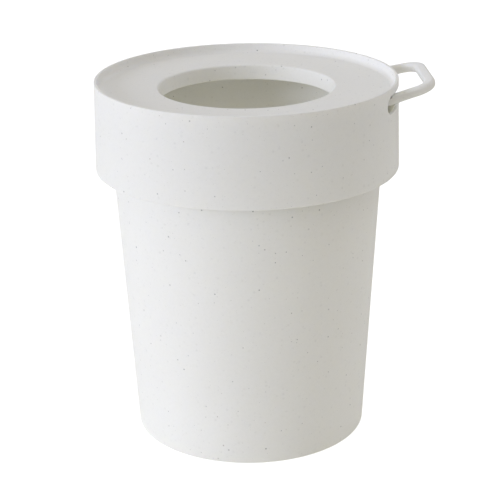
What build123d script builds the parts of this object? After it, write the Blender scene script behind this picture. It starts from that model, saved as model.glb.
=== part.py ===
from build123d import *

import os
from math import asin, cos, degrees, radians, sin, sqrt, tan

# A round waste bin in four mouldings. The bag hangs in a tapered bucket, a ring on the bucket's mouth
# traps it, a loop handle plugs into that ring, and an over-cap with a round hole hides the bag's edge.
# The handle's arms leave the cap through one closed slot, so the cap can rock on the ring.
# Millimetres, +Z up. The origin is the centre of the bucket's underside. The handle points along +X.

# Bucket
bucket_height = 292.6
bucket_base_radius = 98.1
bucket_mouth_radius = 115.9
bucket_wall = 2.4
bucket_floor = 3.0
bucket_foot_round = 1.4
bucket_well_round = 8.0
bead_width = 2.5
bead_height = 4.4
bead_round = 1.0

# Bag ring: a plate on the bucket's mouth, a lip outside the bead and a skirt inside the bucket
ring_wall = 2.4
ring_lip_height = 4.8
ring_lip_gap = 0.5
ring_skirt_depth = 16.0
ring_skirt_gap = 0.6
ring_edge_round = 0.8

# Over-cap
cap_wall = 2.7
deck_wall = 2.4
cap_gap = 1.4
cap_skirt_depth = 64.5
cap_skirt_flare = 1.3
cap_edge_round = 0.8
rim_rise = 7.6
rim_round = 0.8
rim_root = 1.3
rim_root_fillet = 4.5
hole_radius = 72.7
hole_edge_round = 1.6
neck_depth = 13.0
neck_draft = 0.5
neck_root_fillet = 1.5

# Handle loop: a flat bar with round edges, bent to a wide trapezoid that rises away from the bin
handle_tilt = 13.84
handle_rise = 1.07
handle_reach = 22.9
handle_width_at_skirt = 83.7
handle_width_at_tip = 74.2
handle_corner_radius = 17.4
bar_width = 9.0
bar_thickness = 7.5
bar_round = 2.8
arm_root_flare = 5.0

# Handle rail and the tongues that lock it in the ring's plate
rail_overlap = 4.0
tongue_spacing = 20.0
tongue_stem_width = 8.0
tongue_stem_length = 3.6
tongue_head_width = 14.0
tongue_head_length = 2.7
tongue_count = 3
fit_gap = 0.15

# Slot in the skirt
slot_top_gap = 0.75
slot_floor_room = 5.9
slot_side_room = 16.0
arm_shoulder_gap = 0.9

# Heights of the stack
ring_top = bucket_height + ring_wall
ring_lip_bottom = ring_top - ring_lip_height
ring_skirt_bottom = bucket_height - ring_skirt_depth
deck_top = ring_top + deck_wall
rim_top = deck_top + rim_rise
skirt_bottom = ring_top - cap_skirt_depth
neck_bottom = deck_top - neck_depth

# Radii from the bucket outwards
bead_radius = bucket_mouth_radius + bead_width
ring_lip_inner = bead_radius + ring_lip_gap
ring_radius = ring_lip_inner + ring_wall
cap_inner = ring_radius + cap_gap
cap_outer = cap_inner + cap_wall
bucket_slope = (bucket_mouth_radius - bucket_base_radius) / bucket_height
cap_slope = cap_skirt_flare / cap_skirt_depth


def bucket_radius(height):
    """Outer radius of the bucket's tapered wall at a height."""
    return bucket_base_radius + bucket_slope * height


def revolved(*corners):
    """A body turned about Z from its half section, given as corners of (radius, height, rounding)."""
    points = [(radius, height) for radius, height, rounding in corners]
    roundings = [rounding for radius, height, rounding in corners]
    outline = FilletPolyline(*points, radius=roundings, close=True)
    return revolve(make_face(Plane.XZ * outline), axis=Axis.Z)


def tube(inner, outer, bottom, top):
    """A plain ring about Z."""
    return revolved((inner, bottom, 0), (outer, bottom, 0), (outer, top, 0), (inner, top, 0))


def wedge(half_angle, radius, bottom, top):
    """A flat pie slice about +X, for cutting rings into arcs. Half angle in degrees, under 90."""
    far = radius * tan(radians(half_angle))
    outline = make_face(Polyline((0, 0), (radius, -far), (radius, far), close=True))
    return extrude(Plane.XY.offset(bottom) * outline, top - bottom)


# Bucket

def make_bucket():
    """Tapered shell, open at the top, with a flat base and a stiffening bead round the mouth."""
    bead_bottom = bucket_height - bead_height
    return revolved(
        (0, 0, 0),
        (bucket_base_radius, 0, bucket_foot_round),
        (bucket_radius(bead_bottom), bead_bottom, bead_round),
        (bead_radius, bead_bottom, bead_round),
        (bead_radius, bucket_height, bead_round),
        (bucket_mouth_radius - bucket_wall, bucket_height, bead_round),
        (bucket_radius(bucket_floor) - bucket_wall, bucket_floor, bucket_well_round),
        (0, bucket_floor, 0),
    )


# Handle

loop_plane = Plane(
    origin=(cap_outer, 0, ring_top + handle_rise),
    x_dir=(cos(radians(handle_tilt)), 0, sin(radians(handle_tilt))),
    z_dir=(-sin(radians(handle_tilt)), 0, cos(radians(handle_tilt))),
)
loop_length = handle_reach / cos(radians(handle_tilt))
arm_splay = (handle_width_at_skirt - handle_width_at_tip) / 2 / loop_length

# Where an arm crosses the outside of the cap
arm_y = handle_width_at_skirt / 2
arm_x = sqrt(cap_outer ** 2 - arm_y ** 2)
arm_centre_height = loop_plane.origin.Z - (cap_outer - arm_x) * tan(radians(handle_tilt))
arm_top = arm_centre_height + bar_thickness / 2 / cos(radians(handle_tilt))

slot_top = arm_top + slot_top_gap
slot_floor = ring_lip_bottom - slot_floor_room
slot_half_width = arm_y + bar_width / 2 + slot_side_room
rail_half_angle = degrees(asin((slot_half_width + rail_overlap) / ring_radius))


def arm_half_width(along):
    """Half of the loop's width, between the arms' centrelines, at a distance along the loop's plane."""
    return arm_y - arm_splay * along


def make_loop():
    """The bar swept round the trapezoid, with its inner ends run well inside the ring."""
    inner_end = -(cap_outer - arm_x) - 3 * bar_width / 2
    path = loop_plane * FilletPolyline(
        (inner_end, -arm_half_width(inner_end)),
        (loop_length, -handle_width_at_tip / 2),
        (loop_length, handle_width_at_tip / 2),
        (inner_end, arm_half_width(inner_end)),
        radius=handle_corner_radius,
    )
    section_plane = Plane(origin=path @ 0, x_dir=loop_plane.z_dir, z_dir=path % 0)
    # An edge can't be rounder than half of the bar's thickness, less a flat.
    rounding = min(bar_round, 0.45 * bar_thickness)
    return sweep(section_plane * RectangleRounded(bar_thickness, bar_width, rounding), path=path)


def arm_root(side):
    """The flared foot that spreads one arm onto the rail, as high as the rail."""
    middle = asin(arm_y / cap_outer)
    half_outside = bar_width / 2 / cap_outer
    half_inside = half_outside + arm_root_flare / ring_radius
    rail_middle = (ring_lip_inner + ring_radius) / 2
    polar = (
        (rail_middle, middle - half_inside),
        (ring_radius, middle - half_inside),
        (cap_outer, middle - half_outside),
        (cap_outer, middle + half_outside),
        (ring_radius, middle + half_inside),
        (rail_middle, middle + half_inside),
    )
    corners = [(radius * cos(angle), side * radius * sin(angle)) for radius, angle in polar]
    outline = Polyline(*corners, close=True)
    return extrude(Plane.XY.offset(ring_lip_bottom) * make_face(outline), ring_lip_height)


def tongue(angle, gap):
    """One T-shaped tongue through the ring's plate, grown by a gap for the pocket that takes it."""
    neck_x = ring_lip_inner - tongue_stem_length
    stem_end = ring_lip_inner + ring_wall / 2
    stem = Rectangle(stem_end - neck_x + 2 * gap, tongue_stem_width + 2 * gap)
    head = Rectangle(tongue_head_length + 2 * gap, tongue_head_width + 2 * gap)
    outline = Pos((neck_x + stem_end) / 2, 0) * stem + Pos(neck_x - tongue_head_length / 2, 0) * head
    return Rot(0, 0, angle) * extrude(Plane.XY.offset(bucket_height) * outline, ring_wall)


tongue_angles = [tongue_spacing * (i - (tongue_count - 1) / 2) for i in range(tongue_count)]


def make_handle():
    """The loop, the curved rail behind the slot that carries its arms, and the rail's tongues."""
    loop = make_loop() + arm_root(-1) + arm_root(1)
    loop -= tube(0, (ring_lip_inner + ring_radius) / 2, 0, rim_top)
    # Under the deck's edge an arm is only as high as the ring, and it grows to full height in the slot.
    loop -= tube(0, cap_inner + arm_shoulder_gap, ring_top, rim_top)
    rail = revolved(
        (ring_lip_inner, ring_lip_bottom, 0),
        (ring_radius, ring_lip_bottom, ring_edge_round),
        (ring_radius, ring_top, ring_edge_round),
        (ring_lip_inner, ring_top, 0),
    )
    rail &= wedge(rail_half_angle, 2 * cap_outer, ring_lip_bottom, ring_top)
    handle = rail + loop
    for angle in tongue_angles:
        handle += tongue(angle, 0)
    return handle


# Bag ring

def make_bag_ring():
    """Plate, outer lip and inner skirt, cut away where the handle's rail and tongues fit."""
    skirt_outer_top = bucket_mouth_radius - bucket_wall - ring_skirt_gap
    skirt_outer_bottom = bucket_radius(ring_skirt_bottom) - bucket_wall - ring_skirt_gap
    ring = revolved(
        (skirt_outer_top - ring_wall, ring_top, ring_edge_round),
        (skirt_outer_bottom - ring_wall, ring_skirt_bottom, ring_edge_round),
        (skirt_outer_bottom, ring_skirt_bottom, ring_edge_round),
        (skirt_outer_top, bucket_height, 0),
        (ring_lip_inner, bucket_height, 0),
        (ring_lip_inner, ring_lip_bottom, ring_edge_round),
        (ring_radius, ring_lip_bottom, ring_edge_round),
        (ring_radius, ring_top, ring_edge_round),
    )
    pocket_angle = rail_half_angle + degrees(fit_gap / ring_radius)
    pocket = tube(ring_lip_inner - fit_gap, 2 * ring_radius, ring_skirt_bottom, rim_top)
    ring -= pocket & wedge(pocket_angle, 3 * ring_radius, ring_skirt_bottom, rim_top)
    for angle in tongue_angles:
        ring -= tongue(angle, fit_gap)
    return ring


# Over-cap

def make_cover():
    """Skirt, rim, recessed deck, hole and neck in one shell, with the handle's slot in the skirt."""
    rim_outer = cap_outer - cap_slope * (rim_top - ring_top)
    skirt_outer = cap_outer + cap_skirt_flare
    # The hollow at the rim's root takes up no more than part of the rim's inner wall.
    root_fillet = min(rim_root_fillet, 0.6 * rim_rise)
    cover = revolved(
        (skirt_outer, skirt_bottom, cap_edge_round),
        (rim_outer, rim_top, rim_round),
        (rim_outer - cap_wall, rim_top, rim_round),
        (rim_outer - cap_wall - rim_root, deck_top, root_fillet),
        (hole_radius, deck_top, hole_edge_round),
        (hole_radius - neck_draft, neck_bottom, cap_edge_round),
        (hole_radius - neck_draft + deck_wall, neck_bottom, cap_edge_round),
        (hole_radius + deck_wall, ring_top, neck_root_fillet),
        (cap_inner, ring_top, 0),
        (skirt_outer - cap_wall, skirt_bottom, cap_edge_round),
    )
    slot_height = slot_top - slot_floor
    slot_outline = Pos(0, slot_floor + slot_height / 2) * SlotOverall(2 * slot_half_width, slot_height)
    slot = extrude(Plane.YZ * slot_outline, 2 * cap_outer)
    return cover - (slot & tube(cap_inner, 2 * cap_outer, slot_floor, slot_top))


os.makedirs("parts", exist_ok=True)
parts = {
    "bucket": make_bucket(),
    "bag_ring": make_bag_ring(),
    "handle": make_handle(),
    "cover": make_cover(),
}
for node, shape in parts.items():
    export_step(shape, f"parts/{node}.step")
    size = [round(side, 2) for side in shape.bounding_box().size]
    print(node, "solids", len(shape.solids()), "size", size, "volume", round(shape.volume))
print("slot from", round(slot_floor, 2), "to", round(slot_top, 2), "half width", round(slot_half_width, 2))
print("rim top", round(rim_top, 2), "cap radius", round(cap_outer, 2))
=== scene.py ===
# %% [markdown]
# A small round waste bin, moulded in matt white plastic with fine dark specks.
# It is four mouldings: a tapered bucket, a ring that traps the bag, a loop handle that plugs into the
# ring, and a wide over-cap with a round hole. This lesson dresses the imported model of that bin.
# The model is the frame: every piece made here takes its place and size from it and never moves it.

# %% Load the frame and measure it
from math import asin, cos, pi, radians, sin, sqrt, tan

import bmesh
import bpy
from mathutils import Matrix, Vector


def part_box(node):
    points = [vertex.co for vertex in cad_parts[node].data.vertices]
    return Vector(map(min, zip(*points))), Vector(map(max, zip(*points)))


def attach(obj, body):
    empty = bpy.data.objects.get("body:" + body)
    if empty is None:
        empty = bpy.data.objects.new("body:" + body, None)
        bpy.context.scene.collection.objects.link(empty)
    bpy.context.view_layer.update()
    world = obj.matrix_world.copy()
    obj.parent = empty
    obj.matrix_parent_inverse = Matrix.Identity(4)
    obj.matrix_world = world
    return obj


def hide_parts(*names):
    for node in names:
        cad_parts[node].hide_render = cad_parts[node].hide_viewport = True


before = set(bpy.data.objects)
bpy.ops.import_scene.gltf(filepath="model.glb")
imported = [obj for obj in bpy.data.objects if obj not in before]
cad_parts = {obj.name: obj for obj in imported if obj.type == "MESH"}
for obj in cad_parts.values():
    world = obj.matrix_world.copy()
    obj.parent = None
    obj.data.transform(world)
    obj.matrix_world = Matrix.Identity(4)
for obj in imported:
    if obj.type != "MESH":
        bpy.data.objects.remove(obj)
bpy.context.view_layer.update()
MM = 0.001

# %% [markdown]
# The camera stands where the photographer stood. Its height, distance and tilt follow from the circles
# of the rim, the hole and the foot, which the photograph shows as ellipses. A long lens keeps the bin's
# taper gentle. The bin's handle points along +X, and the camera is turned 3 degrees round the bin to
# see the handle as the photograph does. The alternative, turning the bin, would move the frame.

# %% Camera
camera_distance = 1.27987
camera_height = 0.61900
camera_round_bin = radians(-3.052)
camera_pan = radians(-0.050)
camera_down = radians(20.012)
camera_roll = radians(-0.841)
lens_mm = 114.65

camera_data = bpy.data.cameras.new("camera")
camera_data.lens = lens_mm
camera_data.sensor_width = 36
camera_data.clip_start = 0.05
camera_data.clip_end = 50
camera = bpy.data.objects.new("camera", camera_data)
bpy.context.scene.collection.objects.link(camera)
stand = Matrix.Rotation(camera_round_bin, 4, "Z") @ Vector((0, -camera_distance, camera_height))
aim = Matrix.Rotation(camera_round_bin + camera_pan, 4, "Z")
aim = aim @ Matrix.Rotation(pi / 2 - camera_down, 4, "X") @ Matrix.Rotation(camera_roll, 4, "Z")
camera.matrix_world = Matrix.Translation(stand) @ aim
bpy.context.scene.camera = camera
print("camera at", [round(v, 4) for v in stand])

# %% [markdown]
# A node tree needs many small steps, so four helpers keep the cells short. `add_node` makes a node and
# sets its plain inputs, `wire` joins two sockets, and `math_node` and `mix_colours` take a socket or a
# plain value for each of their inputs. The alternative, wiring every node by hand, would be three times
# as long and hide what each tree does.

# %% Helpers for node trees
def add_node(tree, kind, **inputs):
    """A node of one kind, with input values given by name (an underscore stands for a space)."""
    node = tree.nodes.new(kind)
    for name, value in inputs.items():
        node.inputs[name.replace("_", " ")].default_value = value
    return node


def wire(tree, source, target):
    """Joins an output socket to an input socket."""
    tree.links.new(source, target)


def math_node(tree, operation, first, second=None):
    """A Math node whose two values are sockets or plain numbers. Returns its output socket."""
    node = tree.nodes.new("ShaderNodeMath")
    node.operation = operation
    for socket, value in zip(node.inputs, (first, second)):
        if isinstance(value, bpy.types.NodeSocket):
            tree.links.new(value, socket)
        elif value is not None:
            socket.default_value = value
    return node.outputs[0]


def mix_colours(tree, factor, first, second, blend="MIX"):
    """A Mix node for colours. Its sockets share their names with other types, so they go by number."""
    node = tree.nodes.new("ShaderNodeMix")
    node.data_type = "RGBA"
    node.blend_type = blend
    for number, value in ((0, factor), (6, first), (7, second)):
        if isinstance(value, bpy.types.NodeSocket):
            tree.links.new(value, node.inputs[number])
        else:
            node.inputs[number].default_value = value
    return node.outputs[2]


print("node helpers:", ", ".join(helper.__name__ for helper in (add_node, wire, math_node, mix_colours)))

# %% [markdown]
# The plastic is matt white with dark flakes of filler in it, from dust to about a millimetre across.
# The flakes lie all through the wall, so each face cuts them at random, and that is what a solid
# Voronoi texture does: each cell holds one centre, and the surface cuts a small ball round it.
# A painted image would stretch on the tapered walls and repeat. The cell's random colour sets how
# large, how dark and how blue or brown its flake is. A high power makes most flakes small and a few
# large, and a soft edge turns a flake into one that is sunk just under the skin.

# %% Flakes as nodes
def flakes(tree, place, spacing_mm, largest_mm, power, softness):
    """Masks the flakes of one size class. Returns sockets for the mask, and for each flake's tone."""
    cells = add_node(tree, "ShaderNodeTexVoronoi", Scale=1 / (spacing_mm * MM))
    wire(tree, place, cells.inputs["Vector"])
    dice = tree.nodes.new("ShaderNodeSeparateColor")
    wire(tree, cells.outputs["Color"], dice.inputs["Color"])
    size = math_node(tree, "POWER", dice.outputs["Red"], power)
    radius = math_node(tree, "MULTIPLY", size, largest_mm / spacing_mm)
    edge = tree.nodes.new("ShaderNodeMapRange")
    edge.interpolation_type = "SMOOTHSTEP"
    wire(tree, cells.outputs["Distance"], edge.inputs["Value"])
    wire(tree, math_node(tree, "MULTIPLY", radius, 1 - softness), edge.inputs["From Min"])
    wire(tree, math_node(tree, "MULTIPLY", radius, 1 + softness), edge.inputs["From Max"])
    edge.inputs["To Min"].default_value = 1
    edge.inputs["To Max"].default_value = 0
    return edge.outputs["Result"], dice.outputs["Green"], dice.outputs["Blue"]


print("one size class of flakes comes from", flakes.__name__)

# %% [markdown]
# Three kinds of flake lie in the plastic: dark ones cut open by the surface, pale ones sunk under the
# skin, and dust. A little noise bends the coordinates first, so that a flake has a ragged edge and not
# a ball's. Most flakes are grey, a few are brown and a few blue, and a colour ramp on the cell's third
# random number deals these out.

# %% Lay the flakes into a colour
flake_grey = (0.075, 0.080, 0.085, 1)
flake_blue = (0.130, 0.185, 0.230, 1)
flake_brown = (0.260, 0.190, 0.120, 1)
brown_share = 0.18
blue_start = 0.70
palest_flake = 0.5
ragged_mm = 0.22
ragged_scale = 1400
flake_kinds = {
    "open": {"spacing_mm": 4.4, "largest_mm": 0.75, "power": 3.0, "softness": 0.25, "strength": 0.55},
    "sunk": {"spacing_mm": 4.6, "largest_mm": 1.00, "power": 1.0, "softness": 0.90, "strength": 0.10},
    "dust": {"spacing_mm": 1.7, "largest_mm": 0.20, "power": 1.6, "softness": 0.25, "strength": 0.50},
}
for kind, sizes in flake_kinds.items():
    print(kind, "flakes up to", sizes["largest_mm"], "mm, one in each", sizes["spacing_mm"], "mm cell")


def ragged_place(tree, place):
    """Coordinates bent by a fine noise, by part of a millimetre at most."""
    wobble = add_node(tree, "ShaderNodeTexNoise", Scale=ragged_scale, Detail=1)
    wire(tree, place, wobble.inputs["Vector"])
    centred = tree.nodes.new("ShaderNodeVectorMath")
    centred.operation = "SUBTRACT"
    centred.inputs[1].default_value = (0.5, 0.5, 0.5)
    wire(tree, wobble.outputs["Color"], centred.inputs[0])
    ragged = tree.nodes.new("ShaderNodeVectorMath")
    ragged.operation = "MULTIPLY_ADD"
    ragged.inputs[1].default_value = (ragged_mm * MM,) * 3
    wire(tree, centred.outputs[0], ragged.inputs[0])
    wire(tree, place, ragged.inputs[2])
    return ragged.outputs[0]


def with_flakes(tree, place, colour):
    """Lays every kind of flake over a colour. Returns the new colour's socket."""
    bent = ragged_place(tree, place)
    for kind in flake_kinds.values():
        mask, darkness, hue = flakes(tree, bent, kind["spacing_mm"], kind["largest_mm"], kind["power"],
                                     kind["softness"])
        tint = tree.nodes.new("ShaderNodeValToRGB")
        ramp = tint.color_ramp
        ramp.elements[0].position, ramp.elements[0].color = 0, flake_brown
        ramp.elements[1].position, ramp.elements[1].color = 1, flake_blue
        ramp.elements.new(brown_share).color = flake_grey
        ramp.elements.new(blue_start).color = flake_grey
        wire(tree, hue, tint.inputs["Fac"])
        depth = math_node(tree, "MULTIPLY", math_node(tree, "ADD", darkness, palest_flake),
                          kind["strength"] / (1 + palest_flake))
        colour = mix_colours(tree, math_node(tree, "MULTIPLY", mask, depth), colour, tint.outputs["Color"])
    return colour


print("hues go from brown through grey, from", brown_share, "to", blue_start, "of the way, to blue")

# %% [markdown]
# Each moulding gets the same recipe with its own offset, so no two pieces repeat a pattern. Under the
# flakes the white drifts by about one part in a hundred over a hand's width, and is faintly cloudy over
# a few millimetres. The surface comes from a finely blasted mould: roughness near 0.55 with small
# changes, and a bump far under the size of a flake. Some of the light goes up to 3 mm into the plastic
# and comes out elsewhere, which softens the hollows and lets the thin rim glow where its far side is
# lit. Subsurface scattering says just that, and a plain diffuse white would look like paint.

# %% Speckled plastic
plastic_white = (0.900, 0.897, 0.868, 1)
plastic_index = 1.46
shine = 0.4
light_share = 0.35
light_depth_mm = 3
light_reach = (1.0, 0.95, 0.8)
drift_scale, drift_depth = 14, 0.03
cloud_scale, cloud_depth = 420, 0.05
least_white = 0.96
rub_scale, rub_depth = 60, 0.12
grain_scale, grain_depth = 2600, 0.00004


def noise_level(tree, place, scale, detail, depth):
    """A noise from nought to a depth. Returns its socket."""
    noise = add_node(tree, "ShaderNodeTexNoise", Scale=scale, Detail=detail)
    wire(tree, place, noise.inputs["Vector"])
    return math_node(tree, "MULTIPLY", noise.outputs["Fac"], depth)


def speckled_plastic(name, offset, roughness=0.55):
    """Matt white plastic with dark flakes, on object coordinates."""
    material = bpy.data.materials.new(name)
    material.use_nodes = True
    tree = material.node_tree
    shader = tree.nodes["Principled BSDF"]
    shader.inputs["IOR"].default_value = plastic_index
    shader.inputs["Specular IOR Level"].default_value = shine
    shader.inputs["Subsurface Weight"].default_value = light_share
    shader.inputs["Subsurface Radius"].default_value = light_reach
    shader.inputs["Subsurface Scale"].default_value = light_depth_mm * MM
    where = tree.nodes.new("ShaderNodeTexCoord")
    shift = add_node(tree, "ShaderNodeMapping", Location=offset)
    wire(tree, where.outputs["Object"], shift.inputs["Vector"])
    place = shift.outputs["Vector"]

    tone = math_node(tree, "ADD", noise_level(tree, place, drift_scale, 1, drift_depth),
                     noise_level(tree, place, cloud_scale, 3, cloud_depth))
    level = math_node(tree, "ADD", tone, least_white)
    white = mix_colours(tree, 1, plastic_white, level, "MULTIPLY")
    wire(tree, with_flakes(tree, place, white), shader.inputs["Base Color"])

    rub = noise_level(tree, place, rub_scale, 4, rub_depth)
    wire(tree, math_node(tree, "ADD", rub, roughness - rub_depth / 2), shader.inputs["Roughness"])
    grain = add_node(tree, "ShaderNodeTexNoise", Scale=grain_scale, Detail=2)
    wire(tree, place, grain.inputs["Vector"])
    bump = add_node(tree, "ShaderNodeBump", Strength=0.25, Distance=grain_depth)
    wire(tree, grain.outputs["Fac"], bump.inputs["Height"])
    wire(tree, bump.outputs["Normal"], shader.inputs["Normal"])
    return material


bucket_plastic = speckled_plastic("bucket_plastic_speckled", (0.31, 0.12, 0.05))
ring_plastic = speckled_plastic("ring_plastic_speckled", (0.83, 0.47, 0.21))
handle_plastic = speckled_plastic("handle_plastic_speckled", (0.57, 0.91, 0.37), roughness=0.50)
cover_plastic = speckled_plastic("cover_plastic_speckled", (0.41, 0.28, 0.94))
print("materials", [m.name for m in bpy.data.materials if m.name.endswith("speckled")])

# %% [markdown]
# The mouldings come from Geometry Nodes trees, and these share a start and an end. Each takes a wire
# from outside: a mesh of points and edges, where each point carries how far its corner is rounded, and
# Fillet Curve rounds it by that much. Each ends in smooth shading, Realize Instances and Set Material,
# so that what comes out is a real mesh with its own plastic.

# %% The start and the end of a tree
def new_geometry_tree(name, inputs):
    """An empty geometry tree with an input for each (name, kind, first value), and the inputs' node."""
    tree = bpy.data.node_groups.new(name, "GeometryNodeTree")
    tree.interface.new_socket("Geometry", in_out="OUTPUT", socket_type="NodeSocketGeometry")
    for label, kind, value in inputs:
        socket = tree.interface.new_socket(label, in_out="INPUT", socket_type="NodeSocket" + kind)
        if value is not None:
            socket.default_value = value
    return tree, tree.nodes.new("NodeGroupInput")


def rounded_curve(tree, mesh_wire, steps):
    """Turns a wire into a curve with each corner rounded by its own amount. Returns the curve's socket."""
    wires = tree.nodes.new("GeometryNodeMeshToCurve")
    wire(tree, mesh_wire, wires.inputs["Mesh"])
    rounding = add_node(tree, "GeometryNodeInputNamedAttribute", Name="rounding")
    rounding.data_type = "FLOAT"
    fillet = tree.nodes.new("GeometryNodeFilletCurve")
    fillet.mode = "POLY"
    wire(tree, wires.outputs["Curve"], fillet.inputs["Curve"])
    wire(tree, steps, fillet.inputs["Count"])
    wire(tree, rounding.outputs["Attribute"], fillet.inputs["Radius"])
    return fillet.outputs["Curve"]


def end_tree(tree, geometry, material):
    """Shades the shape smooth, makes it real, gives it its material and hands it out."""
    smooth = tree.nodes.new("GeometryNodeSetShadeSmooth")
    wire(tree, geometry, smooth.inputs["Geometry"])
    real = tree.nodes.new("GeometryNodeRealizeInstances")
    wire(tree, smooth.outputs["Geometry"], real.inputs["Geometry"])
    finish = tree.nodes.new("GeometryNodeSetMaterial")
    wire(tree, real.outputs["Geometry"], finish.inputs["Geometry"])
    wire(tree, material, finish.inputs["Material"])
    result = tree.nodes.new("NodeGroupOutput")
    wire(tree, finish.outputs["Geometry"], result.inputs["Geometry"])


print("tree helpers:", ", ".join(part.__name__ for part in (new_geometry_tree, rounded_curve, end_tree)))

# %% [markdown]
# Bucket, ring and cap are all turned shapes: one half section, swung round the Z axis. They could be
# spun in mesh code, or bought ready as cylinders and cut. Here one Geometry Nodes tree does it, because
# the rule is the same for all three and only the section differs. The tree rounds the section's corners,
# then sweeps it along a circle with Curve to Mesh, or along an arc for a piece that goes part of the way.
# Curve to Mesh lays a section flat across the path, so the tree first turns the section by a right
# angle and moves it in by the path's radius.

# %% The turning tree
path_radius = 0.1
weld_gap = 0.000001


def turning_tree(name, whole_turn):
    """A tree that rounds a half section and turns it round Z, all the way or through an arc about +X."""
    tree, given = new_geometry_tree(name, (
        ("Section", "Geometry", None),
        ("Steps in a rounding", "Int", 5),
        ("Steps round the axis", "Int", 360),
        ("Half arc", "Float", 0.5),
        ("Finish", "Material", None),
    ))
    section = rounded_curve(tree, given.outputs["Section"], given.outputs["Steps in a rounding"])
    flat = add_node(tree, "GeometryNodeTransform", Rotation=(pi / 2, 0, 0), Translation=(-path_radius, 0, 0))
    wire(tree, section, flat.inputs["Geometry"])
    if whole_turn:
        path = add_node(tree, "GeometryNodeCurvePrimitiveCircle", Radius=path_radius)
    else:
        path = add_node(tree, "GeometryNodeCurveArc", Radius=path_radius)
        back = math_node(tree, "MULTIPLY", given.outputs["Half arc"], -1)
        wire(tree, back, path.inputs["Start Angle"])
        wire(tree, math_node(tree, "MULTIPLY", given.outputs["Half arc"], 2), path.inputs["Sweep Angle"])
    wire(tree, given.outputs["Steps round the axis"], path.inputs["Resolution"])
    turned = add_node(tree, "GeometryNodeCurveToMesh", Fill_Caps=not whole_turn)
    wire(tree, path.outputs["Curve"], turned.inputs["Curve"])
    wire(tree, flat.outputs["Geometry"], turned.inputs["Profile Curve"])
    weld = add_node(tree, "GeometryNodeMergeByDistance", Distance=weld_gap)
    wire(tree, turned.outputs["Mesh"], weld.inputs["Geometry"])
    outwards = tree.nodes.new("GeometryNodeFlipFaces")
    wire(tree, weld.outputs["Geometry"], outwards.inputs["Mesh"])
    end_tree(tree, outwards.outputs["Mesh"], given.outputs["Finish"])
    return tree


turn_whole = turning_tree("turn_whole", True)
turn_arc = turning_tree("turn_arc", False)
for tree in (turn_whole, turn_arc):
    print("tree", tree.name, "with", len(tree.nodes), "nodes")

# %% [markdown]
# Some more helpers: one draws a half section from corners in millimetres, one hangs a tree on an
# object and sets its inputs, and one freezes the result into a plain mesh and throws the recipe away,
# because the finished part must be ordinary triangles. A modifier finds a tree's inputs by the socket's
# identifier, not by its name. A closed mesh has a volume, and its sign tells whether the faces look
# outwards, so each finished piece prints its own.

# %% Helpers that draw, apply and freeze
def wire_object(name, points, roundings, closed):
    """An object that is only a wire: points in metres, each with its own rounding."""
    mesh = bpy.data.meshes.new(name)
    edges = [(i, i + 1) for i in range(len(points) - 1)]
    if closed:
        edges.append((len(points) - 1, 0))
    mesh.from_pydata(points, edges, [])
    rounding = mesh.attributes.new("rounding", "FLOAT", "POINT")
    rounding.data.foreach_set("value", roundings)
    thing = bpy.data.objects.new(name, mesh)
    bpy.context.scene.collection.objects.link(thing)
    return thing


def half_section(name, corners, closed=True):
    """A half section in the XZ plane, from corners of (radius, height, rounding) in millimetres."""
    points = [(radius * MM, 0, height * MM) for radius, height, rounding in corners]
    return wire_object(name, points, [rounding * MM for radius, height, rounding in corners], closed)


def hang_tree(thing, tree, **values):
    """Adds a Geometry Nodes modifier and sets its inputs through their sockets' identifiers."""
    modifier = thing.modifiers.new(tree.name, "NODES")
    modifier.node_group = tree
    sockets = {s.name: s.identifier for s in tree.interface.items_tree if s.item_type == "SOCKET"}
    for name, value in values.items():
        modifier[sockets[name.replace("_", " ")]] = value
    return modifier


def freeze(thing, name, material):
    """Replaces an object and its modifiers by one plain mesh at the origin."""
    bpy.context.view_layer.update()
    graph = bpy.context.evaluated_depsgraph_get()
    mesh = bpy.data.meshes.new_from_object(thing.evaluated_get(graph), depsgraph=graph)
    mesh.name = name
    mesh.materials.clear()
    mesh.materials.append(material)
    mesh.polygons.foreach_set("material_index", [0] * len(mesh.polygons))
    bpy.data.objects.remove(thing)
    frozen = bpy.data.objects.new(name, mesh)
    bpy.context.scene.collection.objects.link(frozen)
    return frozen


def describe(thing):
    """Prints a shape's faces, signed volume and open edges. A volume under zero means inside out."""
    shape = bmesh.new()
    shape.from_mesh(thing.data)
    volume = shape.calc_volume(signed=True) / MM ** 3
    loose = sum(1 for edge in shape.edges if len(edge.link_faces) != 2)
    shape.free()
    print(thing.name, len(thing.data.polygons), "faces,", round(volume), "mm3, open edges", loose)


def finish_piece(thing, name, material, tools=()):
    """Evens the normals, freezes the piece, removes the tools that shaped it and reports on it."""
    thing.modifiers.new("even_normals", "WEIGHTED_NORMAL").keep_sharp = True
    piece = freeze(thing, name, material)
    for tool in tools:
        bpy.data.objects.remove(tool)
    describe(piece)
    return piece


print("mesh helpers:", ", ".join(helper.__name__ for helper in (half_section, hang_tree, freeze, describe)))

# %% [markdown]
# The bucket is a tapered shell, 2.4 mm thick, with a bead round its mouth. Its underside shows how it
# was made: it stands on a narrow foot ring, the middle is raised by a hair, and in the centre is the
# round dimple where the plastic entered the mould. The section starts and ends on the axis, so it
# stays open: the tree's Merge by Distance closes both poles.

# %% Bucket
bucket_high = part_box("bucket")[1]
bucket_height = bucket_high.z / MM
bead_radius = bucket_high.x / MM
bead_width = 2.5
bead_height = 4.4
bucket_wall = 2.4
bucket_floor = 3.0
mouth_radius = bead_radius - bead_width
base_radius = 98.1
bead_round = 1.0
bead_root_round = 0.9
foot_width = 7.0
foot_step = 0.4
foot_round = 1.4
well_round = 8.0
gate_radius = 5.0
gate_slope = 0.8
gate_depth = 0.9
stub_radius = 0.9
stub_height = 0.5
fine_round = 0.4
hair_round = 0.2


def bucket_radius(height):
    """Outer radius of the tapered wall at a height, in millimetres."""
    return base_radius + (mouth_radius - base_radius) * height / bucket_height


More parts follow.
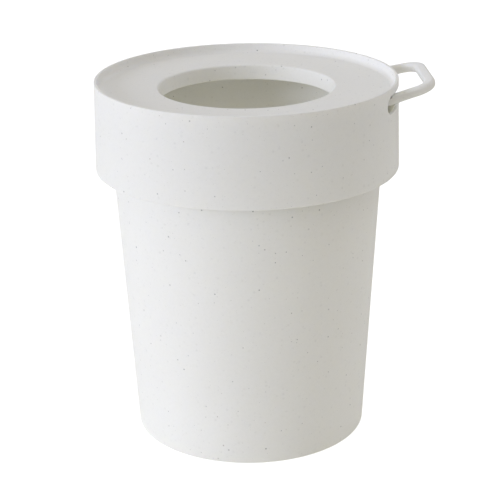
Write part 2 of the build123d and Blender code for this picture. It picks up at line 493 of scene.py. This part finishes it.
bead_bottom = bucket_height - bead_height
bucket = half_section("bucket_section", [
    (0, gate_depth - stub_height, 0),
    (stub_radius, gate_depth - stub_height, stub_height / 2),
    (stub_radius, gate_depth, hair_round),
    (gate_radius - gate_slope, gate_depth, fine_round),
    (gate_radius, foot_step, fine_round),
    (base_radius - foot_width, foot_step, fine_round),
    (base_radius - foot_width + foot_step, 0, hair_round),
    (base_radius, 0, foot_round),
    (bucket_radius(bead_bottom), bead_bottom, bead_root_round),
    (bead_radius, bead_bottom, bead_round),
    (bead_radius, bucket_height, bead_round),
    (mouth_radius - bucket_wall, bucket_height, bead_round),
    (bucket_radius(bucket_floor) - bucket_wall, bucket_floor, well_round),
    (0, bucket_floor, 0),
], closed=False)
smooth_steps = 6
hang_tree(bucket, turn_whole, Finish=bucket_plastic, Steps_in_a_rounding=smooth_steps)
bucket = finish_piece(bucket, "bucket_shell", bucket_plastic)

# %% [markdown]
# The over-cap is one shell: a skirt, a rim that stands above the deck, the deck, the round hole and a
# short neck below it. Its section is closed, with a rounding at each corner that the photograph shows.
# The rim wall leans in a little towards the deck and meets it in a soft hollow.

# %% Over-cap section
cover_low, cover_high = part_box("cover")
rim_top = cover_high.z / MM
skirt_bottom = cover_low.z / MM
skirt_radius = cover_high.x / MM
cap_wall = 2.7
deck_wall = 2.4
cap_flare = 1.3
deck_top = 297.4
hole_radius = 72.7
neck_bottom = 284.4
neck_draft = 0.5
neck_root_round = 1.5
hole_round = 1.6
rim_lean = 1.3
rim_root_round = 4.5
edge_round = 0.8
inner_round = 0.3
ring_top = deck_top - deck_wall
cap_outer = skirt_radius - cap_flare
cap_inner = cap_outer - cap_wall
cap_slope = cap_flare / (ring_top - skirt_bottom)
rim_outer = cap_outer - cap_slope * (rim_top - ring_top)

cover = half_section("cover_section", [
    (skirt_radius, skirt_bottom, edge_round),
    (rim_outer, rim_top, edge_round),
    (rim_outer - cap_wall, rim_top, edge_round),
    (rim_outer - cap_wall - rim_lean, deck_top, rim_root_round),
    (hole_radius, deck_top, hole_round),
    (hole_radius - neck_draft, neck_bottom, edge_round),
    (hole_radius - neck_draft + deck_wall, neck_bottom, edge_round),
    (hole_radius + deck_wall, ring_top, neck_root_round),
    (cap_inner, ring_top, inner_round),
    (skirt_radius - cap_wall, skirt_bottom, edge_round),
])
hang_tree(cover, turn_whole, Finish=cover_plastic, Steps_in_a_rounding=smooth_steps)
print("cap section has", len(cover.data.vertices), "corners")

# %% [markdown]
# The handle leaves the cap through one long slot in the skirt. A moulded slot has a soft lip, not a
# knife edge. Rounding the lip after the cut would mean a bevel along hundreds of tiny edges. It is
# simpler to shape the cutter: it follows the slot's outline through the wall, and flares in a quarter
# round where it leaves the outer face, so that the cut itself leaves the lip rounded.
# The slot's height follows from what passes through it, so the arm's place is worked out first: where
# the arm meets the cap's outer face, and how high it stands there. The outline is drawn as seen along X,
# in columns with a point above and below the middle line.

# %% The slot's outline
lip_height = 4.8
lip_bottom = ring_top - lip_height
arm_width = 83.7
bar_width = 9.0
bar_thickness = 7.5
handle_tilt = radians(13.84)
handle_rise = 1.07
arm_y = arm_width / 2
arm_x = sqrt(cap_outer ** 2 - arm_y ** 2)
arm_height = ring_top + handle_rise - (cap_outer - arm_x) * tan(handle_tilt)
slot_floor_room = 5.9
slot_top_gap = 0.75
slot_side_room = 16.0
slot_floor = lip_bottom - slot_floor_room
slot_top = arm_height + bar_thickness / 2 / cos(handle_tilt) + slot_top_gap
slot_half_width = arm_y + bar_width / 2 + slot_side_room
slot_middle = (slot_floor + slot_top) / 2
end_radius = (slot_top - slot_floor) / 2
straight = slot_half_width - end_radius
end_steps = 14
straight_steps = 80


def slot_columns(grow):
    """Columns of the slot's outline as (sideways place, half height), grown by a margin, in millimetres."""
    radius = end_radius + grow
    turns = [pi / 2 * i / end_steps for i in range(end_steps)]
    left = [(-straight - radius * cos(turn), radius * sin(turn)) for turn in turns]
    flat = [(straight * (2 * i / straight_steps - 1), radius) for i in range(straight_steps + 1)]
    return left + flat + [(-y, half) for y, half in reversed(left)]


print("slot from", round(slot_floor, 2), "to", round(slot_top, 2), "mm, half width", slot_half_width)

# %% [markdown]
# The cutter is a stack of such outlines, bent to the cap's cone: one behind the wall, one where the lip
# starts, and a few that grow outwards. Columns keep its curved end faces easy to fill, since one strip
# of quads joins each pair of them, where one large bent polygon would fold.

# %% The slot's cutter
lip_round = 0.3
lip_steps = 5
cut_margin = 0.04
overhang = 1.0


def slot_levels():
    """Depths measured from the cap's outer face, each with how far the outline has grown there."""
    levels = [(-cap_wall - cut_margin, 0), (-lip_round, 0)]
    for i in range(1, lip_steps + 1):
        turn = pi / 2 * i / lip_steps
        levels.append((lip_round * (sin(turn) - 1), lip_round * (1 - cos(turn))))
    return levels + [(overhang, lip_round)]


def on_cap(y, height, depth):
    """A point on the cap's cone, moved out by a depth, in metres."""
    radius = cap_outer + cap_slope * (ring_top - height) + depth
    return (sqrt(radius ** 2 - y ** 2) * MM, y * MM, height * MM)


def make_slot_cutter():
    """A closed cutter from rings of paired points, one ring for each level."""
    points, faces = [], []
    levels = slot_levels()
    count = len(slot_columns(0))
    for depth, grow in levels:
        for side in (1, -1):
            points += [on_cap(y, slot_middle + side * half, depth) for y, half in slot_columns(grow)]
    for i in range(count - 1):
        for level in range(len(levels) - 1):
            here, there = 2 * count * level + i, 2 * count * (level + 1) + i
            faces.append((here, here + 1, there + 1, there))
            faces.append((here + count, there + count, there + count + 1, here + count + 1))
        last = 2 * count * (len(levels) - 1) + i
        faces.append((i + count, i + count + 1, i + 1, i))
        faces.append((last, last + 1, last + count + 1, last + count))
    return solid_object("slot_cutter", points, faces)


doubles_gap = 0.002 * MM


def solid_object(name, points, faces):
    """A closed mesh object from points in metres, with doubled points merged and faces turned outwards."""
    shape = bmesh.new()
    corners = [shape.verts.new(point) for point in points]
    for face in faces:
        shape.faces.new([corners[i] for i in face])
    bmesh.ops.remove_doubles(shape, verts=shape.verts, dist=doubles_gap)
    bmesh.ops.recalc_face_normals(shape, faces=shape.faces)
    mesh = bpy.data.meshes.new(name)
    shape.to_mesh(mesh)
    shape.free()
    thing = bpy.data.objects.new(name, mesh)
    bpy.context.scene.collection.objects.link(thing)
    return thing


slot_cutter = make_slot_cutter()
describe(slot_cutter)

# %% [markdown]
# Cutting is a Boolean modifier. It leaves long thin faces beside the cut, and averaged normals would
# smear grey streaks over them. Weighted Normal gives each large face the say over its own edge, so the
# skirt shades as the smooth cone that it is.

# %% Cut the slot
def combine(thing, others, operation):
    """Adds one exact Boolean modifier for each other object."""
    for other in others:
        modifier = thing.modifiers.new(other.name, "BOOLEAN")
        modifier.object = other
        modifier.operation = operation
        modifier.solver = "EXACT"


combine(cover, [slot_cutter], "DIFFERENCE")
cover = finish_piece(cover, "over_cap", cover_plastic, [slot_cutter])

# %% [markdown]
# The handle is a rail, bent to the ring's radius and hidden behind the slot, with a loop that rises
# from it. The loop is a flat bar with round edges that follows a path, so Geometry Nodes make it: the
# path is three straight runs, Fillet Curve bends its two corners, and Curve to Mesh sweeps a rounded
# rectangle along it. Quadrilateral and Fillet Curve draw that rectangle in the same tree.
# The tree sweeps the bar lying flat, where it can't twist, and tilts it up afterwards.

# %% The bent-bar tree
def bent_bar_tree():
    """A tree that bends a wire's corners, sweeps a bar along it and tilts the result up from its root."""
    tree, given = new_geometry_tree("bent_bar", (
        ("Path", "Geometry", None),
        ("Bar width", "Float", 0.01),
        ("Bar thickness", "Float", 0.01),
        ("Steps in a corner", "Int", 28),
        ("Bar rounding", "Float", 0.002),
        ("Steps in a rounding", "Int", 8),
        ("Tilt", "Float", 0.0),
        ("Root", "Vector", (0, 0, 0)),
        ("Finish", "Material", None),
    ))
    path = rounded_curve(tree, given.outputs["Path"], given.outputs["Steps in a corner"])
    bar = tree.nodes.new("GeometryNodeCurvePrimitiveQuadrilateral")
    wire(tree, given.outputs["Bar width"], bar.inputs["Width"])
    wire(tree, given.outputs["Bar thickness"], bar.inputs["Height"])
    round_bar = tree.nodes.new("GeometryNodeFilletCurve")
    round_bar.mode = "POLY"
    wire(tree, bar.outputs["Curve"], round_bar.inputs["Curve"])
    wire(tree, given.outputs["Steps in a rounding"], round_bar.inputs["Count"])
    wire(tree, given.outputs["Bar rounding"], round_bar.inputs["Radius"])
    swept = add_node(tree, "GeometryNodeCurveToMesh", Fill_Caps=True)
    wire(tree, path, swept.inputs["Curve"])
    wire(tree, round_bar.outputs["Curve"], swept.inputs["Profile Curve"])
    lean = tree.nodes.new("ShaderNodeCombineXYZ")
    wire(tree, math_node(tree, "MULTIPLY", given.outputs["Tilt"], -1), lean.inputs["Y"])
    placed = tree.nodes.new("GeometryNodeTransform")
    wire(tree, swept.outputs["Mesh"], placed.inputs["Geometry"])
    wire(tree, lean.outputs["Vector"], placed.inputs["Rotation"])
    wire(tree, given.outputs["Root"], placed.inputs["Translation"])
    end_tree(tree, placed.outputs["Geometry"], given.outputs["Finish"])
    return tree


bent_bar = bent_bar_tree()
print("tree", bent_bar.name, "with", len(bent_bar.nodes), "nodes")

# %% [markdown]
# The loop is a wide trapezoid: its arms start 84 mm apart and close to 74 mm at the tip, and a hand's
# four fingers fit inside. Its arms run on inside the cap. A turned cutter takes off what would lie
# under the deck, so there an arm is only as high as the ring.

# %% The loop
ring_lip_gap = 0.5
ring_lip_inner = bead_radius + ring_lip_gap
ring_wall = 2.4
ring_radius = ring_lip_inner + ring_wall
rail_middle = ring_lip_inner + ring_wall / 2
handle_reach = 22.9
tip_width = 74.2
corner_radius = 17.4
bar_round = 2.8
shoulder_gap = 0.9
loop_length = handle_reach / cos(handle_tilt)
splay = (arm_width - tip_width) / 2 / loop_length
run_on = 1.5 * bar_width
inner_end = -(cap_outer - arm_x) - run_on
inner_y = arm_y - splay * inner_end

path_points = [
    (inner_end, -inner_y),
    (loop_length, -tip_width / 2),
    (loop_length, tip_width / 2),
    (inner_end, inner_y),
]
loop = wire_object("loop_path", [(x * MM, y * MM, 0) for x, y in path_points],
                   [0, corner_radius * MM, corner_radius * MM, 0], closed=False)
hang_tree(loop, bent_bar, Bar_width=bar_width * MM, Bar_thickness=bar_thickness * MM,
          Bar_rounding=bar_round * MM, Tilt=handle_tilt,
          Root=(cap_outer * MM, 0, (ring_top + handle_rise) * MM), Finish=handle_plastic)
trim_low, trim_high = lip_bottom - 30, rim_top + 30
trimmer = half_section("loop_trimmer", [
    (0, trim_low, 0),
    (rail_middle, trim_low, 0),
    (rail_middle, ring_top, 0),
    (cap_inner + shoulder_gap, ring_top, 0),
    (cap_inner + shoulder_gap, trim_high, 0),
    (0, trim_high, 0),
], closed=False)
hang_tree(trimmer, turn_whole, Finish=handle_plastic)
combine(loop, [trimmer], "DIFFERENCE")
loop = finish_piece(loop, "loop", handle_plastic, [trimmer])

# %% [markdown]
# Each arm spreads into the rail through a flared root, so that the load of a full bin doesn't sit on a
# sharp corner. Three T-shaped tongues on the rail slide into pockets in the ring. All of these are
# prisms: an outline, drawn as seen from above, pulled up to a height. The roots show through the slot,
# so a Bevel modifier softens their edges, and the hidden tongues keep theirs.

# %% Roots and tongues
root_flare = 5.0
root_steps = 10
tongue_stem = (8.0, 3.6)
tongue_head = (14.0, 2.7)
tongue_turns = [radians(-20), 0, radians(20)]
fit_gap = 0.15
root_softness = 0.5
root_inset = 0.02
tongue_inset = 0.05


def prism(name, outline, bottom, top, softness=0):
    """An upright prism from an outline of (x, y) in millimetres, with its edges softened if asked."""
    count = len(outline)
    points = [(x * MM, y * MM, height * MM) for height in (bottom, top) for x, y in outline]
    faces = [tuple(range(count)), tuple(range(count, 2 * count))]
    faces += [(i, (i + 1) % count, count + (i + 1) % count, count + i) for i in range(count)]
    thing = solid_object(name, points, faces)
    if softness:
        soften = thing.modifiers.new("soft_edges", "BEVEL")
        soften.width = softness * MM
        soften.segments = 3
        soften.limit_method = "ANGLE"
        soften.angle_limit = radians(60)
    return thing


def root_outline(side):
    """The flared root of one arm: wide on the rail, closing in a hollow curve to the bar's width."""
    middle = asin(arm_y / cap_outer)
    outside = bar_width / 2 / cap_outer
    flare = root_flare / ring_radius
    edge = [(rail_middle, outside + flare)]
    for i in range(root_steps + 1):
        share = i / root_steps
        edge.append((ring_radius + share * (cap_outer - ring_radius), outside + flare * (1 - share) ** 2))
    polar = [(radius, middle - half) for radius, half in edge]
    polar += [(radius, middle + half) for radius, half in reversed(edge)]
    return [(radius * cos(turn), side * radius * sin(turn)) for radius, turn in polar]


def tongue_outline(turn, gap):
    """A T seen from above, pointing to the axis, grown by a gap for the pocket that takes it."""
    stem_width, stem_length = tongue_stem
    head_width, head_length = tongue_head
    neck = ring_lip_inner - stem_length
    corners = [
        (rail_middle + gap, stem_width / 2 + gap),
        (neck + gap, stem_width / 2 + gap),
        (neck + gap, head_width / 2 + gap),
        (neck - head_length - gap, head_width / 2 + gap),
    ]
    corners += [(x, -y) for x, y in reversed(corners)]
    return [(x * cos(turn) - y * sin(turn), x * sin(turn) + y * cos(turn)) for x, y in corners]


roots = [prism("root", root_outline(side), lip_bottom + root_inset, ring_top - root_inset, root_softness)
         for side in (1, -1)]
tongues = [prism("tongue", tongue_outline(turn, 0), bucket_height + tongue_inset, ring_top - tongue_inset)
           for turn in tongue_turns]
print(len(roots), "roots,", len(tongues), "tongues")

# %% [markdown]
# The rail is an arc of a turned section, from the tree's second form. Everything is then joined into one
# closed skin, because it is one moulding.

# %% The handle in one piece
rail_overlap = 4.0
rail_half_angle = asin((slot_half_width + rail_overlap) / ring_radius)
rail_steps = 90
handle = half_section("rail_section", [
    (ring_lip_inner, lip_bottom, inner_round),
    (ring_radius, lip_bottom, edge_round),
    (ring_radius, ring_top, edge_round),
    (ring_lip_inner, ring_top, inner_round),
])
hang_tree(handle, turn_arc, Finish=handle_plastic, Steps_round_the_axis=rail_steps,
          Half_arc=rail_half_angle)
combine(handle, roots + [loop] + tongues, "UNION")
handle = finish_piece(handle, "loop_handle", handle_plastic, roots + [loop] + tongues)

# %% [markdown]
# The bag ring lies on the bucket's mouth. Its skirt reaches 16 mm down inside the bucket, and its lip
# hooks over the bead. Where the handle's rail lies, the lip is cut away, and the plate has a pocket for
# each tongue, all a hair larger than what fits in them.

# %% Bag ring
skirt_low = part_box("bag_ring")[0].z / MM
skirt_gap = 0.6
skirt_outer_top = mouth_radius - bucket_wall - skirt_gap
skirt_outer_low = bucket_radius(skirt_low) - bucket_wall - skirt_gap

ring = half_section("ring_section", [
    (skirt_outer_top - ring_wall, ring_top, edge_round),
    (skirt_outer_low - ring_wall, skirt_low, edge_round),
    (skirt_outer_low, skirt_low, edge_round),
    (skirt_outer_top, bucket_height, 0),
    (ring_lip_inner, bucket_height, 0),
    (ring_lip_inner, lip_bottom, edge_round),
    (ring_radius, lip_bottom, edge_round),
    (ring_radius, ring_top, edge_round),
])
hang_tree(ring, turn_whole, Finish=ring_plastic)
clear = 5
rail_pocket = half_section("rail_pocket", [
    (ring_lip_inner - fit_gap, lip_bottom - clear, 0),
    (ring_radius + clear, lip_bottom - clear, 0),
    (ring_radius + clear, ring_top + clear, 0),
    (ring_lip_inner - fit_gap, ring_top + clear, 0),
])
hang_tree(rail_pocket, turn_arc, Finish=ring_plastic, Steps_round_the_axis=rail_steps,
          Half_arc=rail_half_angle + fit_gap / ring_radius)
pockets = [prism("pocket", tongue_outline(turn, fit_gap), bucket_height - overhang, ring_top + overhang)
           for turn in tongue_turns]
combine(ring, [rail_pocket] + pockets, "DIFFERENCE")
ring = finish_piece(ring, "ring_shell", ring_plastic, [rail_pocket] + pockets)

# %% [markdown]
# Each piece now rides on its body and stands for its node, whose imported mesh is hidden.

# %% Tie the pieces to the frame
for piece, body, node in ((bucket, "bin", "bucket"), (ring, "ring", "bag_ring"),
                          (handle, "ring", "handle"), (cover, "cap", "cover")):
    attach(piece, body)
    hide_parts(node)
    print(piece.name, "rides on", body, "for", node)

# %% [markdown]
# The photograph is a cut-out on pure white, so the floor has to look white and still give back only a
# little light from below. Light Path makes the difference: what the camera sees of the floor gets an
# extra glow, and what the bin receives from it stays weak.

# %% Floor
scene = bpy.context.scene
scene.view_settings.view_transform = "Standard"
floor_reach = 3.0
floor_glow = (0.208, 0.199, 0.144, 1)
seen_glow = (0.66, 0.66, 0.66, 1)

floor_mesh = bpy.data.meshes.new("floor")
corners = [(x * floor_reach, y * floor_reach, 0) for x, y in ((-1, -1), (1, -1), (1, 1), (-1, 1))]
floor_mesh.from_pydata(corners, [], [(0, 1, 2, 3)])
floor = bpy.data.objects.new("floor", floor_mesh)
scene.collection.objects.link(floor)
paper = bpy.data.materials.new("white_paper")
paper.use_nodes = True
paper_shader = paper.node_tree.nodes["Principled BSDF"]
paper_shader.inputs["Base Color"].default_value = (0.8, 0.8, 0.8, 1)
paper_shader.inputs["Roughness"].default_value = 0.9
paper_shader.inputs["Emission Strength"].default_value = 1
seen = paper.node_tree.nodes.new("ShaderNodeLightPath")
glow = mix_colours(paper.node_tree, seen.outputs["Is Camera Ray"], floor_glow, seen_glow)
wire(paper.node_tree, glow, paper_shader.inputs["Emission Color"])
floor_mesh.materials.append(paper)
print("floor", 2 * floor_reach, "m wide")

# %% [markdown]
# The light is a studio with low windows on the left and softer lamps on the right. Sun lamps with a
# wide angle give the same soft light all over the bin, wherever they stand, so each needs only a
# direction and a strength. Area lamps would do too, but they fall off across a bin this close. The tones
# of the bin in the photograph, from its bright left side to its grey right side, set the strengths.

# %% Studio lamps
lamp_spread = radians(25)


def sun_lamp(name, turn, climb, strength):
    """A wide sun lamp that shines from a direction: degrees round Z from +X, and degrees above level."""
    data = bpy.data.lights.new(name, "SUN")
    data.energy = max(strength)
    data.color = [part / max(strength) for part in strength]
    data.angle = lamp_spread
    light = bpy.data.objects.new(name, data)
    scene.collection.objects.link(light)
    turn, climb = radians(turn), radians(climb)
    towards = Vector((-cos(climb) * cos(turn), -cos(climb) * sin(turn), -sin(climb)))
    light.rotation_euler = towards.to_track_quat("-Z", "Y").to_euler()


sun_lamp("window_left", 180, 12, (0.485, 0.512, 0.575))
sun_lamp("window_front_left", -150, 12, (1.062, 1.110, 1.311))
sun_lamp("card_right", 0, 25, (0.269, 0.258, 0.289))
sun_lamp("lamp_high_right", 0, 60, (0.241, 0.274, 0.327))

# %% [markdown]
# White plastic lets some light through its wall, which is why the inside of the real bin isn't dark.
# Working that out through two skins costs much time, so two weak lamps stand for it: one inside the
# bucket, and a very small one under the ring's lip, in the gap between the bucket and the cap's skirt.
# That one shows through the slot. Light linking keeps it off the cap, because on the slot's own edge it
# would look like a lamp, and what the slot shows is the bucket behind it.

# %% Light through the walls
def inner_lamp(name, radius, height, strength, softness):
    """A weak lamp inside the bin, towards the handle, which the camera can't see. Millimetres and watts."""
    data = bpy.data.lights.new(name, "POINT")
    data.energy = max(strength)
    data.color = [part / max(strength) for part in strength]
    data.shadow_soft_size = softness * MM
    lamp = bpy.data.objects.new(name, data)
    lamp.location = (radius * MM, 0, height * MM)
    lamp.visible_camera = False
    scene.collection.objects.link(lamp)
    return lamp


inner_lamp("light_inside", 0, 200, (0.0581, 0.0565, 0.0474), 40)
slot_lamp = inner_lamp("light_behind_slot", 119, 268, (0.0018, 0.0017, 0.0013), 2)
behind_slot = bpy.data.collections.new("behind_slot")
for piece in (bucket, ring, handle):
    behind_slot.objects.link(piece)
slot_lamp.light_linking.receiver_collection = behind_slot

# %% [markdown]
# Around it all is a white sky that is brightest overhead, and a pale wall behind. Both follow from the
# direction alone: how far it points up, and how far it points away from the camera. A power on the
# second keeps the wall narrow. As with the floor, the camera sees plain white, the photograph's own
# background, while the bin gets the softer light.

# %% Sky and wall
wall_narrowness = 4
dome_light = (0.675, 0.641, 0.584, 1)
wall_light = (0.580, 0.617, 0.718, 1)
seen_white = (1, 1, 1, 1)

world = bpy.data.worlds.new("studio")
scene.world = world
world.use_nodes = True
sky = world.node_tree
direction = sky.nodes.new("ShaderNodeTexCoord")
split = sky.nodes.new("ShaderNodeSeparateXYZ")
wire(sky, direction.outputs["Generated"], split.inputs["Vector"])
overhead = math_node(sky, "MAXIMUM", split.outputs["Z"], 0)
behind = math_node(sky, "POWER", math_node(sky, "MAXIMUM", split.outputs["Y"], 0), wall_narrowness)
dome = mix_colours(sky, 1, dome_light, overhead, "MULTIPLY")
wall = mix_colours(sky, 1, wall_light, behind, "MULTIPLY")
both = mix_colours(sky, 1, dome, wall, "ADD")
seen_sky = sky.nodes.new("ShaderNodeLightPath")
backdrop = mix_colours(sky, seen_sky.outputs["Is Camera Ray"], both, seen_white)
wire(sky, backdrop, sky.nodes["Background"].inputs["Color"])
print("world", world.name, "with", len(sky.nodes), "nodes")
